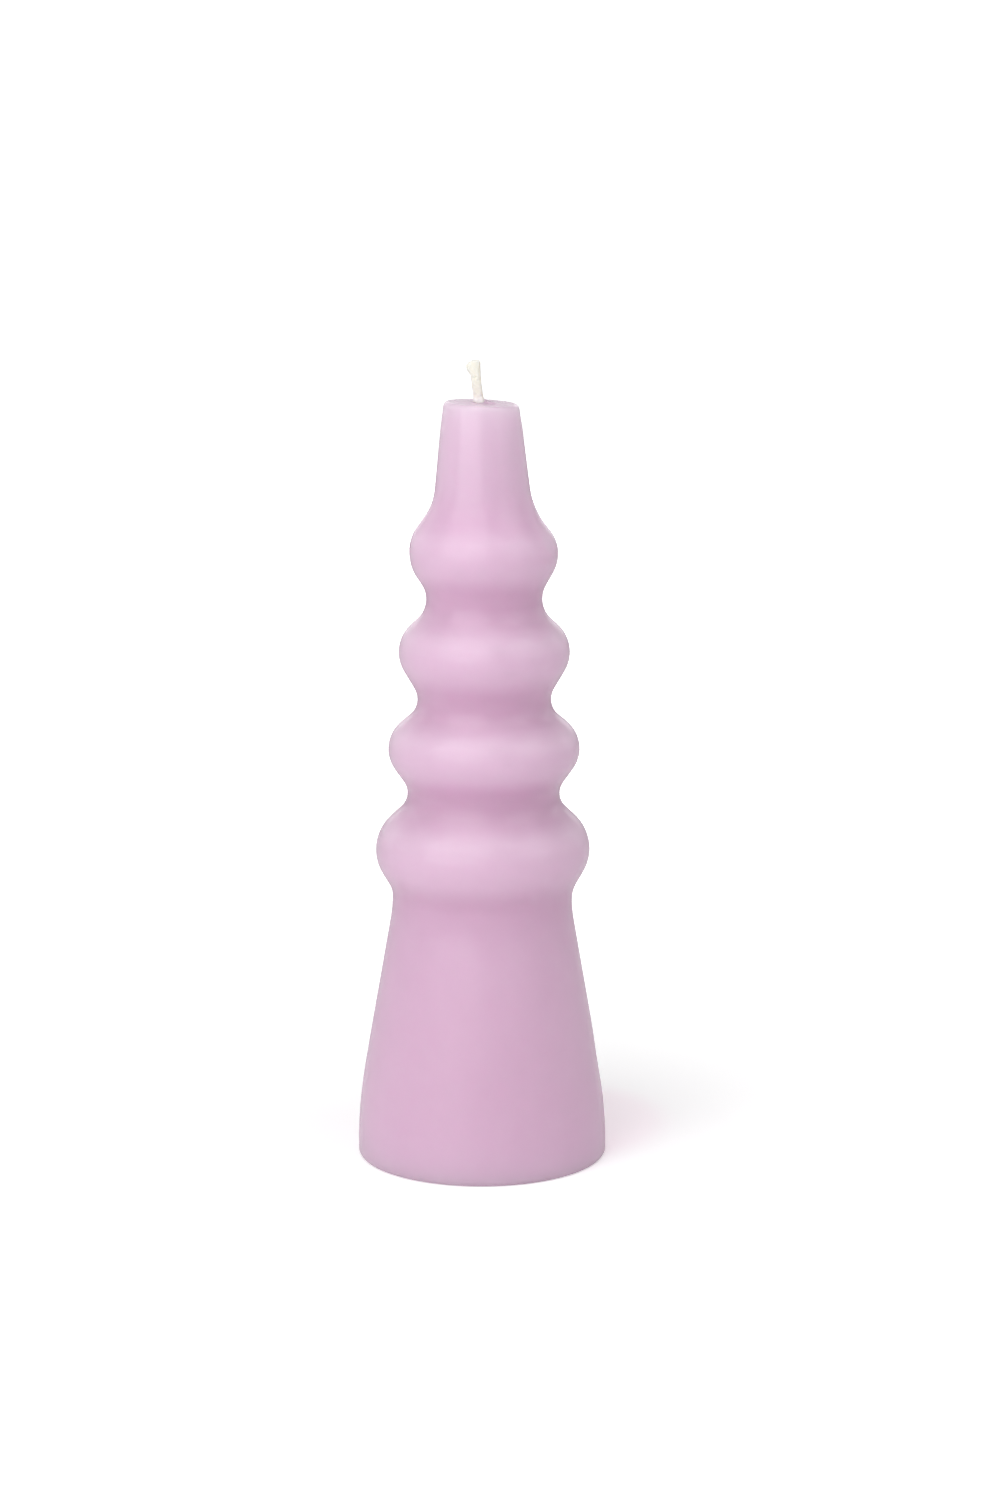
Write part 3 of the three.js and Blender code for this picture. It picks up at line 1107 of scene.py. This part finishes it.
# Lamps: (name, bearing, elevation, distance, width, height, watts), in degrees and metres.
LAMPS = (
    ("key_low", -32, 42, 0.70, 0.87, 0.30, 1.78),
    ("key_high", -40, 66, 0.70, 0.60, 0.30, 0.85),
    ("right_low", 62, 22, 0.70, 0.50, 0.30, 0.44),
    ("right_high", 62, 46, 0.70, 0.50, 0.30, 0.55),
    ("front_box", -32, 14, 1.00, 1.10, 0.40, 2.77),
    ("over_box", 0, 88, 0.42, 0.25, 0.25, 0.20),
    ("left_wall", -105, 15, 1.20, 1.20, 0.70, 0.78),
    ("right_wall", 105, 15, 1.20, 1.20, 0.70, 1.31),
    ("back_left_wall", -150, 15, 1.20, 1.20, 0.70, 1.54),
    ("back_right_wall", 150, 15, 1.20, 1.20, 0.70, 1.36),
    ("back_wall", 180, 14, 1.20, 1.00, 0.50, 0.90),
)

CAMERA_DISTANCE = 881.6 * MM
CAMERA_HEIGHT = 278.0 * MM
CAMERA_ASIDE = 4.3 * MM
CAMERA_PITCH = math.radians(11.54)
SENSOR_WIDTH = 36
LENS_PIXELS = 3819.9
FRAME_PIXELS = 1500


def away_from(tree, middle):
    """How far each place on the piece is from a middle."""
    made = node(tree, "ShaderNodeVectorMath", operation="DISTANCE")
    tree.links.new(object_place(tree), made.inputs[0])
    made.inputs[1].default_value = middle
    return made.outputs["Value"]


def paper_light(tree, cast_share):
    """The paper itself and its glow, which is brighter as seen than as light on the candle; the
    glow as seen is dimmer near the candle as painted shade, and both are tinted lilac beside the
    base as painted bounce light.
    """
    bounce = range_node(
        tree, away_from(tree, (0, 0, 0)), *UNDER_BASE, PAPER_UNDER_BASE, PAPER_BOUNCE
    )
    # Painted shade: the glow as seen is dimmer near the candle, centred a little behind it.
    seen_glow = range_node(
        tree, away_from(tree, (0, SHADE_BEHIND, 0)), *SHADE_REACH, PAPER_GLOW_NEAR, PAPER_GLOW_FAR
    )
    seen = node(tree, "ShaderNodeLightPath").outputs["Is Camera Ray"]
    strength = node(tree, "ShaderNodeMix", data_type="FLOAT")
    tree.links.new(seen, strength.inputs[0])
    tree.links.new(bounce, strength.inputs[2])
    tree.links.new(seen_glow, strength.inputs[3])
    glow = node(tree, "ShaderNodeEmission")
    tree.links.new(strength.outputs[0], glow.inputs["Strength"])
    # Painted bounce light: the glow and the paper are tinted lilac beside the candle's base.
    glow_colour = mix_colour(tree, cast_share, (1, 1, 1, 1), LILAC_CAST)
    tree.links.new(glow_colour, glow.inputs["Color"])
    paper = node(tree, "ShaderNodeBsdfDiffuse")
    plain_paper = (PAPER_WHITE, PAPER_WHITE, PAPER_WHITE, 1)
    paper_with_painted_bounce = tuple(PAPER_WHITE * level for level in LILAC_CAST[:3]) + (1,)
    paper_colour = mix_colour(tree, cast_share, plain_paper, paper_with_painted_bounce)
    tree.links.new(paper_colour, paper.inputs["Color"])
    lit = node(tree, "ShaderNodeAddShader")
    tree.links.new(paper.outputs[0], lit.inputs[0])
    tree.links.new(glow.outputs[0], lit.inputs[1])
    return lit.outputs[0]


def floor_material():
    """Paper with painted shade and painted lilac bounce light near the candle, fading to plain
    white away from it, clear from below to show the base.
    """
    material, tree = empty_material("White paper floor")
    # Painted lilac bounce light, strongest beside the base and gone a little further out.
    from_cast = away_from(tree, LILAC_CAST_MIDDLE)
    cast_share = range_node(tree, from_cast, *LILAC_CAST_REACH, 1.0, 0.0)
    side = node(tree, "ShaderNodeMixShader")
    from_below = node(tree, "ShaderNodeNewGeometry").outputs["Backfacing"]
    tree.links.new(from_below, side.inputs["Fac"])
    tree.links.new(paper_light(tree, cast_share), side.inputs[1])
    tree.links.new(node(tree, "ShaderNodeBsdfTransparent").outputs[0], side.inputs[2])
    output = node(tree, "ShaderNodeOutputMaterial")
    tree.links.new(side.outputs[0], output.inputs["Surface"])
    return material


def floor():
    """A flat disc of paper, finely divided near the candle so that light in the gap meets it."""
    vertices = []
    for radius in FLOOR_RINGS:
        for side in range(FLOOR_SIDES):
            angle = TURN * side / FLOOR_SIDES
            vertices.append((radius * math.cos(angle), radius * math.sin(angle), -FLOOR_DROP))
    faces = [tuple(reversed(face)) for face in ring_faces(len(FLOOR_RINGS), FLOOR_SIDES)]
    faces.append(tuple(range(FLOOR_SIDES)))
    piece = mesh_piece("paper_floor", vertices, faces, floor_material())


def even_white(tree, strength):
    """Plain white at a strength."""
    made = node(tree, "ShaderNodeBackground")
    made.inputs["Color"].default_value = (1, 1, 1, 1)
    made.inputs["Strength"].default_value = strength
    return made.outputs[0]


def white_world():
    """Even white all round: plain white as seen, dimmer as light on the candle."""
    world = bpy.data.worlds.new("White studio")
    bpy.context.scene.world = world
    world.use_nodes = True
    tree = world.node_tree
    tree.nodes.clear()
    seen = node(tree, "ShaderNodeLightPath").outputs["Is Camera Ray"]
    pick = node(tree, "ShaderNodeMixShader")
    tree.links.new(seen, pick.inputs["Fac"])
    tree.links.new(even_white(tree, ROOM_LIGHT), pick.inputs[1])
    tree.links.new(even_white(tree, ROOM_SEEN), pick.inputs[2])
    output = node(tree, "ShaderNodeOutputWorld")
    tree.links.new(pick.outputs[0], output.inputs["Surface"])


def soft_box(name, bearing, elevation, distance, width, height, watts):
    """A lamp that faces the candle's middle; bearing 0 is in front, positive to the right."""
    lamp = bpy.data.lights.new(name, "AREA")
    lamp.shape = "RECTANGLE"
    lamp.size, lamp.size_y = width, height
    lamp.energy = watts
    piece = bpy.data.objects.new(name, lamp)
    turn, rise = math.radians(bearing), math.radians(elevation)
    level = math.cos(rise)
    away = Vector((math.sin(turn) * level, -math.cos(turn) * level, math.sin(rise)))
    piece.location = Vector((0, 0, WAX_TOP / 2)) + away * distance
    piece.rotation_euler = away.to_track_quat("Z", "Y").to_euler()
    piece.visible_camera = False
    bpy.context.scene.collection.objects.link(piece)


def studio_light():
    """The white room and its lamps."""
    white_world()
    for lamp in LAMPS:
        soft_box(*lamp)


def camera():
    """The camera where the photograph was taken from."""
    data = bpy.data.cameras.new("camera")
    data.sensor_width = SENSOR_WIDTH
    data.lens = data.sensor_width * LENS_PIXELS / FRAME_PIXELS
    data.clip_start, data.clip_end = 0.01, 50
    piece = bpy.data.objects.new("camera", data)
    piece.location = (CAMERA_ASIDE, -CAMERA_DISTANCE, CAMERA_HEIGHT)
    piece.rotation_euler = (math.pi / 2 - CAMERA_PITCH, 0, 0)
    bpy.context.scene.collection.objects.link(piece)
    bpy.context.scene.camera = piece


def dress(piece, packed):
    """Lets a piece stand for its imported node, on the one body that the candle has."""
    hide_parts(packed)
    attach(piece, "root")


# The whole candle in its studio.

camera()
dress(wax_body(wax_material()), "wax_body")
dress(wick(cotton_material()), "wick")
dress(wick_tab(tinplate_material()), "wick_tab")
floor()
studio_light()
bpy.context.scene.view_settings.view_transform = "Standard"
